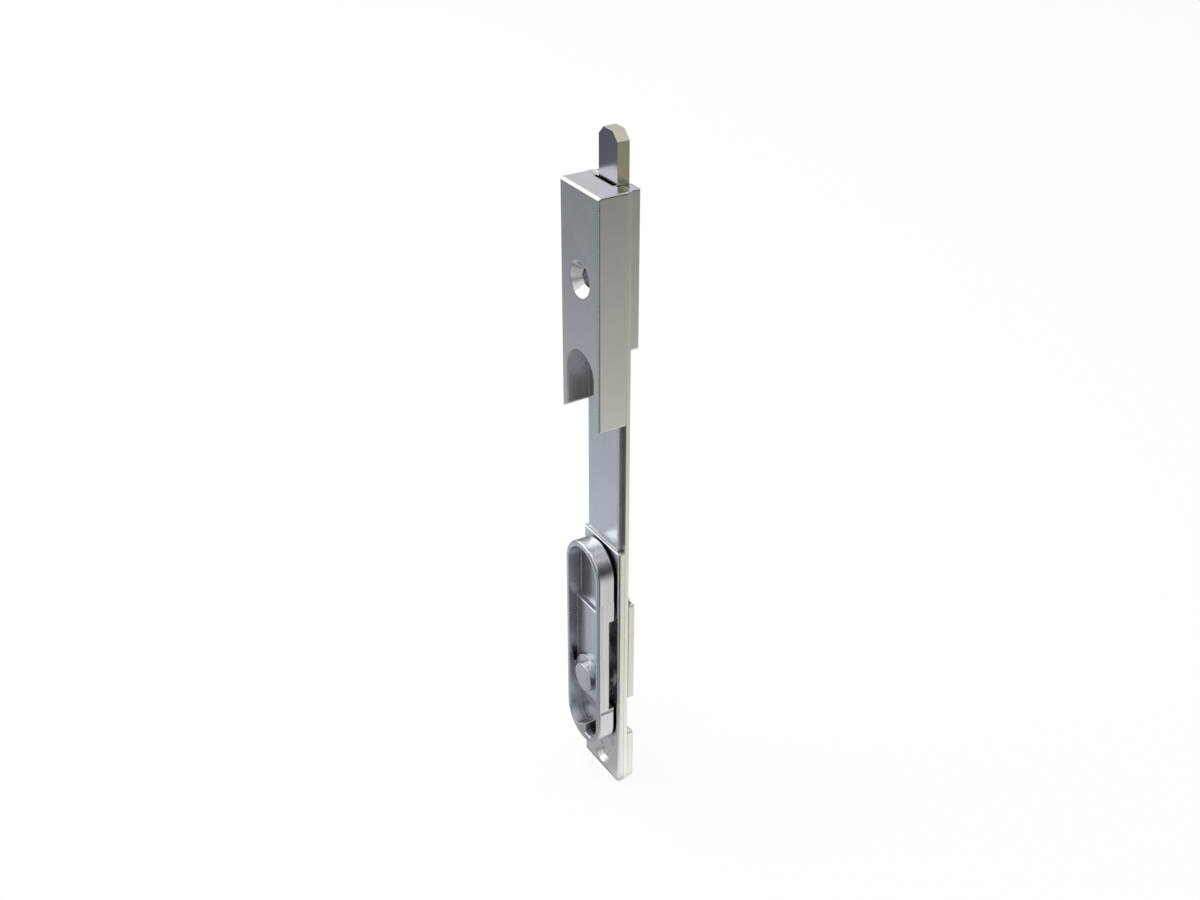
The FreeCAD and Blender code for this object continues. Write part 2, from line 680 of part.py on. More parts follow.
def make_lever():
    body = new_body("lever")
    front = size.front_depth
    sketch = new_sketch(body, "XZ_Plane", lever_back)
    draw_round_slot(sketch, ZERO, lever_low, lever_high, lever_radius)
    pad(body, sketch, front - lever_back)
    round_edges(body, size.lever_round, lambda edge: at_depth(edge, front))

    def back_edge(edge):
        return at_depth(edge, lever_back)

    bevel_edges(body, size.lever_back_edge, back_edge)
    # Shallow floor round the boss
    sketch = new_sketch(body, "XZ_Plane", front)
    draw_pocket(sketch, lever_high)
    cut(body, sketch, size.boss_floor)
    # Middle floor, then the deep top floor
    sketch = new_sketch(body, "XZ_Plane", front)
    draw_top_pocket(sketch, crank_height + size.floor_step)
    cut(body, sketch, size.middle_floor)
    sketch = new_sketch(body, "XZ_Plane", front)
    draw_top_pocket(sketch, lever_top - size.ramp_top)
    cut(body, sketch, size.top_floor)
    sketch = new_sketch(body, "YZ_Plane")
    draw_outline(sketch, [
        (-front + size.top_floor, lever_top - size.ramp_top),
        (-front, lever_top - size.ramp_top),
        (-front, lever_top - size.ramp_bottom),
        (-front + size.middle_floor, lever_top - size.ramp_bottom),
    ])
    cut(body, sketch, rim_radius * 2, midplane=True)
    # Slope down to the deep bottom floor
    slope_end = lever_bottom + size.slope_bottom
    sketch = new_sketch(body, "YZ_Plane")
    draw_outline(sketch, [
        (-front + size.boss_floor, crank_height - size.slope_top),
        (-front, crank_height - size.slope_top),
        (-front, lever_low),
        (-front + size.bottom_floor, lever_low),
        (-front + size.bottom_floor, slope_end),
    ])
    cut(body, sketch, rim_radius * 2, midplane=True)
    sketch = new_sketch(body, "XZ_Plane", front)
    draw_pocket(sketch, None)
    cut(body, sketch, size.bottom_floor)
    # Three-cornered gusset at the lower end, and the pit beside it over the hinge
    low = lever_bottom + size.pocket_end
    corner = leg(rim_radius, lever_low - low)
    side = size.gusset_side
    high = low + size.gusset_rise
    sketch = new_sketch(body, "XZ_Plane", front - size.bottom_floor)
    draw_outline(sketch, [(-corner, low), (side, low), (side, high)])
    pad(body, sketch, size.bottom_floor - size.boss_front)
    sketch = new_sketch(body, "XZ_Plane", front - size.bottom_floor)
    draw_rectangle(sketch, side, low, corner, high)
    cut(body, sketch, size.pit_floor - size.bottom_floor)
    # Raised boss and collar that make room for the link's eye
    sketch = new_sketch(body, "XZ_Plane", front - size.middle_floor)
    draw_circle(sketch, ZERO, crank_height, collar_radius)
    pad(body, sketch, size.middle_floor - size.boss_floor)
    sketch = new_sketch(body, "XZ_Plane", front - size.middle_floor)
    draw_circle(sketch, ZERO, crank_height, collar_radius - size.boss_ring)
    pad(body, sketch, size.middle_floor - size.boss_front)
    # Finger grip behind the side walls
    sketch = new_sketch(body, "XZ_Plane", lever_back)
    aside = lever_radius + size.overrun
    draw_rectangle(sketch, -aside, lever_bottom + size.grip_bottom, aside, lever_top - size.grip_top)
    cut(body, sketch, grip_plane - lever_back, forward=True)
    # Side faces set back a little between the two ends
    sketch = new_sketch(body, "XZ_Plane", lever_back)
    side_face = lever_radius - size.side_recess
    for left, right in ((-aside, -side_face), (side_face, aside)):
        draw_rectangle(sketch, left, lever_bottom + size.side_bottom, right, lever_top - size.side_top)
    cut(body, sketch, front - lever_back - size.side_margin, forward=True)
    # Knuckles for the crank pin
    sketch = new_sketch(body, "YZ_Plane")
    draw_circle(sketch, -crank_depth, crank_height, knuckle_radius)
    pad(body, sketch, knuckle_half * 2, midplane=True)
    eye_room = link_eye + size.free_gap
    sketch = new_sketch(body, "XZ_Plane", lever_back - size.overrun)
    draw_rectangle(sketch, -fork_inside, crank_height - eye_room, fork_inside, crank_height + eye_room)
    cut(body, sketch, crank_depth + eye_room - lever_back + size.overrun, forward=True)
    sketch = new_sketch(body, "XZ_Plane", lever_back - size.overrun)
    draw_rectangle(
        sketch, -fork_inside, crank_height, fork_inside,
        crank_height + leg(collar_radius, fork_inside) - size.collar_wall / 2)
    cut(body, sketch, front - size.boss_floor - size.collar_wall - lever_back + size.overrun, forward=True)
    # Bores, drilled from the left side only
    drill_from_left(body, crank_depth, crank_height, size.crank_pin / 2, crank_pin_end)
    # Slot for the hinge lug
    sketch = new_sketch(body, "YZ_Plane")
    clear = hinge_lug_radius + size.hinge_lug_gap
    swept = -hinge_depth - size.hinge_lug_sweep
    draw_outline(sketch, [
        (-hinge_depth, hinge_height + clear), (swept, hinge_height), (swept, lever_bottom - size.overrun),
        (-lever_back + size.overrun, lever_bottom - size.overrun),
        (-lever_back + size.overrun, hinge_height + clear),
    ])
    cut(body, sketch, hinge_lug + size.hinge_lug_gap * 2, midplane=True)
    sketch = new_sketch(body, "YZ_Plane")
    draw_circle(sketch, -hinge_depth, hinge_height, clear)
    cut(body, sketch, hinge_lug + size.hinge_lug_gap * 2, midplane=True)
    drill_from_left(body, hinge_depth, hinge_height, size.hinge_pin / 2, hinge_pin_right)


def draw_pocket(sketch, high):
    """The lever's inner outline; with no upper centre, only its rounded lower end."""
    low_edge = lever_bottom + size.pocket_end
    drop = lever_low - low_edge
    half_chord = leg(rim_radius, drop)
    left = draw_arc(sketch, (ZERO, lever_low), (-rim_radius, lever_low), (-half_chord, low_edge))
    right = draw_arc(sketch, (ZERO, lever_low), (half_chord, low_edge), (rim_radius, lever_low))
    join_arcs(sketch, left, right)
    if high is None:
        join_arcs(sketch, right, left)
        return
    head = draw_arc(sketch, (ZERO, high), (rim_radius, high), (-rim_radius, high))
    join_arcs(sketch, right, head)
    join_arcs(sketch, head, left)


def draw_top_pocket(sketch, low):
    """The upper stretch of the lever's inner outline, down to a straight lower end."""
    head = draw_arc(sketch, (ZERO, lever_high), (rim_radius, lever_high), (-rim_radius, lever_high))
    corners = [None, (-rim_radius, low), (rim_radius, low)]
    previous = (head, 2)
    points = [
        sketch.getPoint(head, 2), FreeCAD.Vector(-rim_radius.value, low.value, 0),
        FreeCAD.Vector(rim_radius.value, low.value, 0), sketch.getPoint(head, 1),
    ]
    for index in range(3):
        line = sketch.addGeometry(Part.LineSegment(points[index], points[index + 1]))
        sketch.addConstraint(Sketcher.Constraint("Coincident", *previous, line, 1))
        if index:
            hold_point(sketch, line, 1, *corners[index])
        previous = (line, 2)
    sketch.addConstraint(Sketcher.Constraint("Coincident", *previous, head, 1))


def drill_from_left(body, depth, height, radius, right_end):
    """A blind bore along X that opens on the left side."""
    sketch = new_sketch(body, "YZ_Plane", right_end)
    draw_circle(sketch, -depth, height, radius)
    cut(body, sketch, right_end + size.body_width / 2)


def make_link():
    body = new_body("link")
    sketch = new_sketch(body, "YZ_Plane")
    lower = (-crank_depth, crank_height)
    upper = (-bar_pin_depth, bar_pin_height)
    draw_link(sketch, lower, upper)
    pad(body, sketch, link_width, midplane=True)
    for place in (lower, upper):
        sketch = new_sketch(body, "YZ_Plane")
        draw_circle(sketch, place[0], place[1], link_eye)
        pad(body, sketch, link_width, midplane=True)
    for place, radius in ((lower, size.crank_pin / 2 + size.pin_gap), (upper, size.bar_pin / 2)):
        sketch = new_sketch(body, "YZ_Plane")
        draw_circle(sketch, place[0], place[1], radius)
        cut(body, sketch, link_width, midplane=True)


def draw_link(sketch, lower, upper):
    """The link's straight shank between its two eyes."""
    run = (upper[0] - lower[0], upper[1] - lower[1])
    length = hypotenuse(*run)
    aside = (run[1] / length * size.link_thickness / 2, -run[0] / length * size.link_thickness / 2)
    draw_outline(sketch, [
        (lower[0] - aside[0], lower[1] - aside[1]), (lower[0] + aside[0], lower[1] + aside[1]),
        (upper[0] + aside[0], upper[1] + aside[1]), (upper[0] - aside[0], upper[1] - aside[1]),
    ])


def make_pin(label, depth, height, radius, left, right):
    """A plain pin along X."""
    body = new_body(label)
    sketch = new_sketch(body, "YZ_Plane", left)
    draw_circle(sketch, -depth, height, radius)
    pad(body, sketch, right - left)


def make_rivet(label, across, height, back, front):
    """A rivet along Y that is peened flush at the back."""
    body = new_body(label)
    sketch = new_sketch(body, "XZ_Plane", back)
    draw_circle(sketch, across, height, size.rivet / 2)
    pad(body, sketch, front - back)


def make_rivets():
    guide_back = -size.guide_thickness
    block_back = -size.block_thickness
    rows = [
        ("housing", housing_rivet_height, guide_back, size.strip_thickness + size.rivet_bite),
        ("cover", cover_rivet_height, block_back, base_front),
        ("block", block_rivet_height, block_back, base_front),
    ]
    sides = (("left", -1), ("right", 1))
    for name, height, back, front in rows:
        for side, sign in sides:
            make_rivet("%s_rivet_%s" % (name, side), side_rivet_offset * sign, height, back, front)
    for side, sign in sides:
        across = tip_rivet_offset * sign
        make_rivet("tip_rivet_" + side, across, tip_rivet_height, bar_back - size.tip_thickness, bar_front)


make_face_strip()
make_upper_housing()
make_bolt_guide()
make_drive_bar()
make_bolt_tip()
make_lever_base()
make_link_cover()
make_lower_block()
make_lever()
make_link()
hinge_pin_left = -hinge_pin_right - size.free_gap
make_pin("hinge_pin", hinge_depth, hinge_height, size.hinge_pin / 2, hinge_pin_left, hinge_pin_right)
make_pin("crank_pin", crank_depth, crank_height, size.crank_pin / 2, -crank_pin_end, crank_pin_end)
bar_pin_end = fork_inside + size.fork_wall
make_pin("bar_pin", bar_pin_depth, bar_pin_height, size.bar_pin / 2, -bar_pin_end, bar_pin_end)
make_rivets()

doc.recompute()
for item in doc.Objects:
    if "Invalid" in item.State or "Error" in item.State:
        raise RuntimeError("%s failed: %s" % (item.Label, item.State))

os.makedirs("parts", exist_ok=True)
for body in made:
    if body.Shape.isNull() or not body.Shape.isValid():
        raise RuntimeError("%s has no valid shape" % body.Label)
    body.Shape.exportStep("parts/%s.step" % body.Label)
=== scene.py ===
# %% [markdown]
# The edge bolt
#
# This is a flush bolt for the edge of a door or window: a long, narrow, nickel-plated body
# with a small lever that folds into it. The metal shapes come in exactly as they were
# designed, so the work here is the finish of each metal, the light and the camera.

import math

import bpy
from mathutils import Euler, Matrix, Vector


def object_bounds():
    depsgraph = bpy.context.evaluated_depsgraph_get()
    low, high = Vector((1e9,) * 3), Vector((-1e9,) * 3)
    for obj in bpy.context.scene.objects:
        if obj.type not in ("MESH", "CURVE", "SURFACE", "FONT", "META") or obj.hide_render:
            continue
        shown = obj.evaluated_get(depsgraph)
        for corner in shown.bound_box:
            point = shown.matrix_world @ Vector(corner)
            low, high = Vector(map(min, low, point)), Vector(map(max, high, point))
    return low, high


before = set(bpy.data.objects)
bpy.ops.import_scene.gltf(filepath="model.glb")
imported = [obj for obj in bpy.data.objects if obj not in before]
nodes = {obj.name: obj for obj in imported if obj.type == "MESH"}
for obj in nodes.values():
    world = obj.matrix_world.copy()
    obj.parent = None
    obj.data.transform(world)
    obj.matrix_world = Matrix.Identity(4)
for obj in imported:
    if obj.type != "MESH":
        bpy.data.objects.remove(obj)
design_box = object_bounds()
print("nodes:", len(nodes))

# %% [markdown]
# The bolt and the patterns on its metal are measured in millimetres, because they are small.
# Blender's own unit is the metre, so one value turns one into the other. The floor, the
# lamps and the light on the floor are large, and stay in metres.

# %% Units
MM = 0.001
print("bolt height in mm:", round((design_box[1][2] - design_box[0][2]) / MM, 1))

# %% [markdown]
# Colours are written as the hex values that a paint chart would give. Blender shades in
# linear light, so each hex value is turned to linear first.

# %% Colour


def linear(hex_code):
    """The linear colour, with alpha, of an sRGB hex value."""
    parts = [int(hex_code[start:start + 2], 16) / 255 for start in (1, 3, 5)]
    return tuple(p / 12.92 if p <= 0.04045 else ((p + 0.055) / 1.055) ** 2.4 for p in parts) + (1.0,)


print("a mid grey in linear light:", round(linear("#808080")[0], 3))

# %% [markdown]
# A finish is a small graph of nodes. One function adds a node, sets what differs from the
# node's defaults and links what feeds it, so that each finish reads as a short list.

# %% Node helpers


def add_node(owner, kind, links=None, inputs=None, **settings):
    """Add one node: settings are its properties, inputs its numbers or hex colours, links what feeds it."""
    node = owner.node_tree.nodes.new(kind)
    for name, value in settings.items():
        setattr(node, name, value)
    for name, value in (inputs or {}).items():
        node.inputs[name].default_value = linear(value) if isinstance(value, str) else value
    for name, source in (links or {}).items():
        owner.node_tree.links.new(source, node.inputs[name])
    return node


def new_material(name):
    """A material with no nodes yet."""
    material = bpy.data.materials.new(name)
    material.use_nodes = True
    material.node_tree.nodes.clear()
    return material


print("node helpers are ready")

# %% [markdown]
# What all the metals share
#
# Handling rubs the edges of plated metal lighter, and that lighter edge is also a painted
# highlight along the rounded edges. The recesses are painted darker: painted shade where the
# walls close in. The bevel node finds the edges: it averages the normal over a
# small radius, and where that leans away from the true normal, there is an edge. It begins at
# a lean of 6 degrees and is at its lightest at 32, which the two EDGE values hold as cosines. Ambient
# occlusion finds the recesses, because it measures how much the walls nearby close in a
# spot. The patterns lie in object coordinates, so they keep their real size, and those that
# run along the bolt are stretched fifty times in its length. Nearly all of a noise lies
# between 0.3 and 0.7, so that is the span that is spread over a finish.

# %% Shared parts of a finish
NOISE_LOW = 0.3
NOISE_HIGH = 0.7
EDGE_STARTS = 0.995
EDGE_FULL = 0.85
LENGTHWAYS = (1.0, 1.0, 0.02)
BUMP_DEPTH = 0.02 * MM
# CLOSED and the recess tone set the painted shade in recesses.
CLOSED = 0.1
RECESS_SHADE_TONE = 0.08


def find_places(material):
    """The place on the piece, and the same with its height shrunk, which stretches a pattern along Z."""
    place = add_node(material, "ShaderNodeTexCoord").outputs["Object"]
    squeezed = add_node(material, "ShaderNodeMapping", {"Vector": place}, {"Scale": LENGTHWAYS})
    return place, squeezed.outputs["Vector"]


# Lighter edges: partly rubbed wear, partly a painted highlight along the rounded edges.
def rub_and_highlight_edges(material, colour, rubbed_highlight, wear_and_highlight, radius, samples):
    """Mix the lighter colour in along the edges, partly wear and partly a painted highlight; gives the
    colour and the normal with soft edges.
    """
    bevel = add_node(material, "ShaderNodeBevel", inputs={"Radius": radius}, samples=samples)
    soft = bevel.outputs["Normal"]
    true_normal = add_node(material, "ShaderNodeNewGeometry").outputs["Normal"]
    lean = add_node(material, "ShaderNodeVectorMath", {0: soft, 1: true_normal}, operation="DOT_PRODUCT")
    edge = add_node(
        material, "ShaderNodeMapRange", {"Value": lean.outputs["Value"]},
        {"From Min": EDGE_STARTS, "From Max": EDGE_FULL, "To Min": 0.0, "To Max": wear_and_highlight})
    worn_and_highlighted = add_node(
        material, "ShaderNodeMix", {"Factor": edge.outputs["Result"], "A": colour}, {"B": rubbed_highlight},
        data_type="RGBA")
    return worn_and_highlighted.outputs["Result"], soft


# Painted shade: recesses are darkened in the colour itself.
def paint_recess_shade(material, colour, reach, opened, samples, alone=False):
    """Paint shade into the colour where walls within reach close in; opened is how open a spot is where the
    painted shade ends, alone counts no other piece.
    """
    shelter = add_node(
        material, "ShaderNodeAmbientOcclusion", inputs={"Distance": reach}, samples=samples,
        only_local=alone)
    recess_shade = add_node(
        material, "ShaderNodeMapRange", {"Value": shelter.outputs["AO"]},
        {"From Min": CLOSED, "From Max": opened, "To Min": RECESS_SHADE_TONE, "To Max": 1.0})
    plated_and_shaded = add_node(
        material, "ShaderNodeMix", {"A": colour, "B": recess_shade.outputs["Result"]}, {"Factor": 1.0},
        data_type="RGBA", blend_type="MULTIPLY")
    return plated_and_shaded.outputs["Result"]


def shade_metal(material, colour, clouds, rough, spread, relief, depth, normal):
    """End a metal finish: rough and spread are its roughness, depth how deep the relief looks."""
    polish = add_node(
        material, "ShaderNodeMapRange", {"Value": clouds},
        {"From Min": NOISE_LOW, "From Max": NOISE_HIGH, "To Min": rough - spread, "To Max": rough + spread})
    bump = add_node(
        material, "ShaderNodeBump", {"Height": relief, "Normal": normal},
        {"Strength": depth, "Distance": BUMP_DEPTH})
    shader = add_node(
        material, "ShaderNodeBsdfPrincipled",
        {"Base Color": colour, "Roughness": polish.outputs["Result"], "Normal": bump.outputs["Normal"]},
        {"Metallic": 1.0})
    add_node(material, "ShaderNodeOutputMaterial", {"Surface": shader.outputs["BSDF"]})


print("shared parts are ready")

# %% [markdown]
# Satin nickel plate on zinc
#
# The housings and the lever are zinc die castings. They are tumbled and then nickel plated,
# which leaves a soft, cloudy shine: the surface mirrors the room, but blurred. Slow clouds of
# slightly different polish, about 6 mm across, and a pebbled grain from the mould make it
# read as a casting and not as plain grey. The real grain is about 0.15 mm, finer than the
# camera can show, so it is drawn coarser, at 0.6 mm. Fine brush strokes run along the bolt,
# clear on the lever and faint on the housings. The painted shade in the lever's recesses counts
# only its own walls, because the base close behind it would darken its sides.

# %% Casting finish
CLOUD_SIZE = 6 * MM
GRAIN_SIZE = 0.6 * MM
STROKE_WIDTH = 0.5 * MM
# The lighter colour of the edges: partly rubbed wear, partly a painted highlight.
RUBBED_NICKEL_HIGHLIGHT = "#F4F4F0"
CASTING_EDGE = 0.5 * MM
CASTING_ROUGHNESS = 0.28
CASTING_SPREAD = 0.02
CASTING_OPEN = 0.72
CASTING_RELIEF = 0.03
CASTING_SAMPLES = 16


def cast_nickel(name, light, dark, brushed, wear_and_highlight, reach, alone):
    """Satin nickel on a casting: brushed is how much its strokes outdo its clouds."""
    material = new_material(name)
    place, lengthways = find_places(material)
    clouds = add_node(
        material, "ShaderNodeTexNoise", {"Vector": place},
        {"Scale": 1 / CLOUD_SIZE, "Detail": 3.0, "Roughness": 0.55}).outputs["Fac"]
    grain = add_node(
        material, "ShaderNodeTexNoise", {"Vector": place},
        {"Scale": 1 / GRAIN_SIZE, "Detail": 2.0, "Roughness": 0.6}).outputs["Fac"]
    strokes = add_node(
        material, "ShaderNodeTexNoise", {"Vector": lengthways},
        {"Scale": 1 / STROKE_WIDTH, "Detail": 2.0, "Roughness": 0.7}).outputs["Fac"]
    pattern = add_node(material, "ShaderNodeMix", {"A": clouds, "B": strokes}, {"Factor": brushed})
    evened = add_node(
        material, "ShaderNodeMapRange", {"Value": pattern.outputs["Result"]},
        {"From Min": NOISE_LOW, "From Max": NOISE_HIGH})
    tone = add_node(
        material, "ShaderNodeMix", {"Factor": evened.outputs["Result"]}, {"A": dark, "B": light},
        data_type="RGBA")
    # Edges lighter: wear and a painted highlight.
    worn_and_highlighted, soft = rub_and_highlight_edges(
        material, tone.outputs["Result"], RUBBED_NICKEL_HIGHLIGHT, wear_and_highlight, CASTING_EDGE, CASTING_SAMPLES)
    # Painted shade in the recesses.
    plated_and_shaded = paint_recess_shade(material, worn_and_highlighted, reach, CASTING_OPEN, CASTING_SAMPLES, alone)
    shade_metal(
        material, plated_and_shaded, clouds, CASTING_ROUGHNESS, CASTING_SPREAD, grain, CASTING_RELIEF, soft)
    return material


housing_nickel = cast_nickel(
    "satin_nickel_casting", "#EDEDED", "#E6E7E8", brushed=0.2, wear_and_highlight=0.55, reach=3.5 * MM, alone=False)
lever_nickel = cast_nickel(
    "satin_nickel_lever", "#EAECF0", "#CDCFD5", brushed=0.8, wear_and_highlight=0.5, reach=5 * MM, alone=True)
print("casting finishes:", housing_nickel.name, lever_nickel.name)

# %% [markdown]
# Plated steel strip, bar and tip
#
# The strip, the bar and the tip are cut from rolled steel and then plated. Rolling leaves
# fine lines along the length. The real ones are about 0.2 mm apart, and they are drawn a
# little coarser, at 0.35 mm, because the camera can't show finer ones. The broad faces look
# forward or back, and keep the rolled surface. The narrow faces round the outline are milled,
# so they have a colour of their own. The strip is pale and a little warm, the bar is cooler,
# and the tip is dark. The tip's narrow faces are pale cream: partly the milled steel, partly a
# painted highlight on its slanted corner.

# %% Rolled steel finish
LINE_WIDTH = 0.35 * MM
STEEL_CLOUD = 8 * MM
# The lighter colour of the edges: partly rubbed wear, partly a painted highlight.
RUBBED_STEEL_HIGHLIGHT = "#F2F1EC"
STEEL_EDGE = 0.15 * MM
STEEL_EDGE_SAMPLES = 6
# How far walls reach, and how open a spot is where the painted shade of recesses ends.
STEEL_REACH = 3.5 * MM
STEEL_OPEN = 0.5
STEEL_RECESS_SAMPLES = 8
STEEL_SPREAD = 0.04
FRONT_TO_BACK = (0.0, 1.0, 0.0)
MILLED_STARTS = 0.9
MILLED_FULL = 0.5
MILLED_SHARE = 0.85


def rolled_steel(name, light, dark, cut_and_highlight, roughness, lines, wear_and_highlight):
    """Plated steel with a colour of its own on the milled faces, on the tip partly a painted highlight;
    lines is how deep its rolled lines look.
    """
    material = new_material(name)
    place, lengthways = find_places(material)
    streaks = add_node(
        material, "ShaderNodeTexNoise", {"Vector": lengthways},
        {"Scale": 1 / LINE_WIDTH, "Detail": 3.0, "Roughness": 0.6}).outputs["Fac"]
    clouds = add_node(
        material, "ShaderNodeTexNoise", {"Vector": place},
        {"Scale": 1 / STEEL_CLOUD, "Detail": 2.0, "Roughness": 0.5}).outputs["Fac"]
    tone = add_node(
        material, "ShaderNodeMix", {"Factor": streaks}, {"A": dark, "B": light}, data_type="RGBA")
    true_normal = add_node(material, "ShaderNodeNewGeometry").outputs["Normal"]
    facing = add_node(
        material, "ShaderNodeVectorMath", {0: true_normal}, {1: FRONT_TO_BACK}, operation="DOT_PRODUCT")
    broad = add_node(material, "ShaderNodeMath", {0: facing.outputs["Value"]}, operation="ABSOLUTE")
    milled = add_node(
        material, "ShaderNodeMapRange", {"Value": broad.outputs["Value"]},
        {"From Min": MILLED_STARTS, "From Max": MILLED_FULL, "To Min": 0.0, "To Max": MILLED_SHARE})
    # Narrow faces take their own colour; on the tip that pale cream is partly a painted highlight.
    narrow_toned = add_node(
        material, "ShaderNodeMix",
        {"Factor": milled.outputs["Result"], "A": tone.outputs["Result"]}, {"B": cut_and_highlight}, data_type="RGBA")
    # Edges lighter: wear and a painted highlight.
    worn_and_highlighted, soft = rub_and_highlight_edges(
        material, narrow_toned.outputs["Result"], RUBBED_STEEL_HIGHLIGHT, wear_and_highlight, STEEL_EDGE, STEEL_EDGE_SAMPLES)
    # Painted shade in the recesses.
    plated_and_shaded = paint_recess_shade(material, worn_and_highlighted, STEEL_REACH, STEEL_OPEN, STEEL_RECESS_SAMPLES)
    shade_metal(material, plated_and_shaded, clouds, roughness, STEEL_SPREAD, streaks, lines, soft)
    return material


strip_steel = rolled_steel(
    "plated_strip_steel", "#F2F2EC", "#E6E6E0", "#F6F6EF", roughness=0.3, lines=0.15, wear_and_highlight=0.4)
bar_steel = rolled_steel(
    "plated_bar_steel", "#E9EBEF", "#DCDEE3", "#E6E8EC", roughness=0.28, lines=0.12, wear_and_highlight=0.5)
# The tip's cream narrow faces: partly the milled steel, partly a painted highlight.
tip_steel = rolled_steel(
    "milled_tip_steel", "#B0ADB5", "#94929B", "#F6F4D8", roughness=0.23, lines=0.5, wear_and_highlight=0.6)
pin_steel = rolled_steel(
    "bright_pin_steel", "#D6D6D6", "#C6C6C6", "#D6D6D6", roughness=0.28, lines=0.1, wear_and_highlight=0.3)
print("steel finishes:", strip_steel.name, bar_steel.name, tip_steel.name, pin_steel.name)

# %% [markdown]
# Which piece has which finish
#
# Each piece keeps the shape it came with and takes its finish by name, so a reader can see
# at a glance what is cast and what is rolled. The pins and rivets are the rest.

# %% Give out the finishes
FINISH = {
    "upper_housing": housing_nickel, "lever_base": housing_nickel, "bolt_guide": housing_nickel,
    "link_cover": housing_nickel, "lower_block": housing_nickel, "lever": lever_nickel,
    "face_strip": strip_steel, "drive_bar": bar_steel, "bolt_tip": tip_steel, "link": bar_steel,
}
for name, node in nodes.items():
    finish = FINISH.get(name, pin_steel)
    for slot in node.material_slots:
        slot.material = finish
print("dressed:", ", ".join(sorted(nodes)))

# %% [markdown]
# Camera
#
# The bolt is seen from its right and from above, 58.8 degrees round and 29.9 degrees down,
# through a lens of 47 mm from about 370 mm away. The distance matters as much as the angle,
# because the lower end looks smaller than the upper one.

# %% Camera
EYE = Vector((268.37, -165.68, 203.73)) * MM
ROUND = math.radians(58.79)
DOWN = math.radians(29.93)
ROLL = math.radians(-0.06)
LENS = 46.98
SENSOR = 36.0
NEAREST = 0.01

camera_data = bpy.data.cameras.new("camera")
camera_data.lens = LENS
camera_data.sensor_width = SENSOR
camera_data.clip_start = NEAREST
camera = bpy.data.objects.new("camera", camera_data)
bpy.context.collection.objects.link(camera)
camera.location = EYE
aim = Euler((math.pi / 2 - DOWN, 0, ROUND)).to_matrix() @ Euler((0, 0, ROLL)).to_matrix()
camera.rotation_euler = aim.to_euler()
bpy.context.scene.camera = camera
print("camera at", [round(value, 4) for value in camera.location])

# %% [markdown]
# Floor
#
# A plain floor lies just under the bolt. It is a square of six metres, so that its edges are
# never in the way, and it only sets the stage: it isn't part of the bolt.

# %% Floor
FLOOR_SIZE = 6.0
floor_height = design_box[0][2]

bpy.ops.object.select_all(action="DESELECT")
bpy.ops.mesh.primitive_plane_add(size=FLOOR_SIZE, location=(0, 0, floor_height))
floor = bpy.context.active_object
floor.name = "floor"
bpy.ops.object.transform_apply(location=True, rotation=True, scale=True)
print("floor at", round(floor_height / MM, 1), "mm")

# %% [markdown]
# The painted reflection in the floor
#
# A smooth metal shows the room that it mirrors and hardly any light of its own, so what
# the floor looks like in a mirror matters most. Two colour ramps paint a reflection on the
# floor: a glow that only mirrored rays see, which no lamp casts. The first goes along a line on
# the floor, from the front left, under the bolt, to the right behind: metres from the bolt and
# how bright the painted glow is there. Seen from the camera, the front faces mirror the front
# left and the side faces the right behind, so the ramp paints both their slow fade from pale
# near the foot to grey at the top. Right at the foot a painted shadow makes the front faces
# darker again, and the side faces are at their palest. The second ramp goes once round the
# bolt: parts of a turn and a colour. The front faces mirror the cool part and the side faces
# the warm one. The dark part is the painted reflection on the ledge beside the bar, and the
# dusky part paints the thin dark line down the rounded edges. This ramp fades out at the
# bolt's foot, where all its parts would meet in a point.

# %% Painted reflection on the floor
POOL_LINE = (0.855, 0.519, 0.0)
POOL_REACH = 1.2
# Painted glow along the line, with a painted shadow just at the foot.
POOL = (
    (-1.2, 0.2), (-0.5, 0.25), (-0.4, 0.29), (-0.3, 0.38), (-0.2, 0.51), (-0.1, 0.67), (-0.05, 0.62),
    (-0.02, 0.46), (0.0, 0.46), (0.004, 1.0), (0.03, 0.98), (0.06, 0.88), (0.1, 0.86), (0.2, 0.61),
    (0.3, 0.44), (0.4, 0.325), (0.5, 0.25), (1.2, 0.2))
COOL, WARM, DUSK, DARK, PLAIN = "#F0F6FF", "#F6F5EB", "#96979A", "#3E3F41", "#F4F4F4"
TOWARDS = (
    (0.05, COOL), (0.12, COOL), (0.16, DUSK), (0.24, DUSK), (0.27, PLAIN), (0.34, PLAIN),
    (0.375, DARK), (0.47, DARK), (0.53, WARM), (0.7, WARM), (0.8, PLAIN))
FADE_STARTS = 0.01
FADE_ENDS = 0.05


def set_ramp(node, stops):
    """Fill a colour ramp with stops, each a position from 0 to 1 and a linear colour."""
    elements = node.color_ramp.elements
    while len(elements) < len(stops):
        elements.new(1.0)
    for element, (position, colour) in zip(elements, stops):
        element.position = position
        element.color = colour


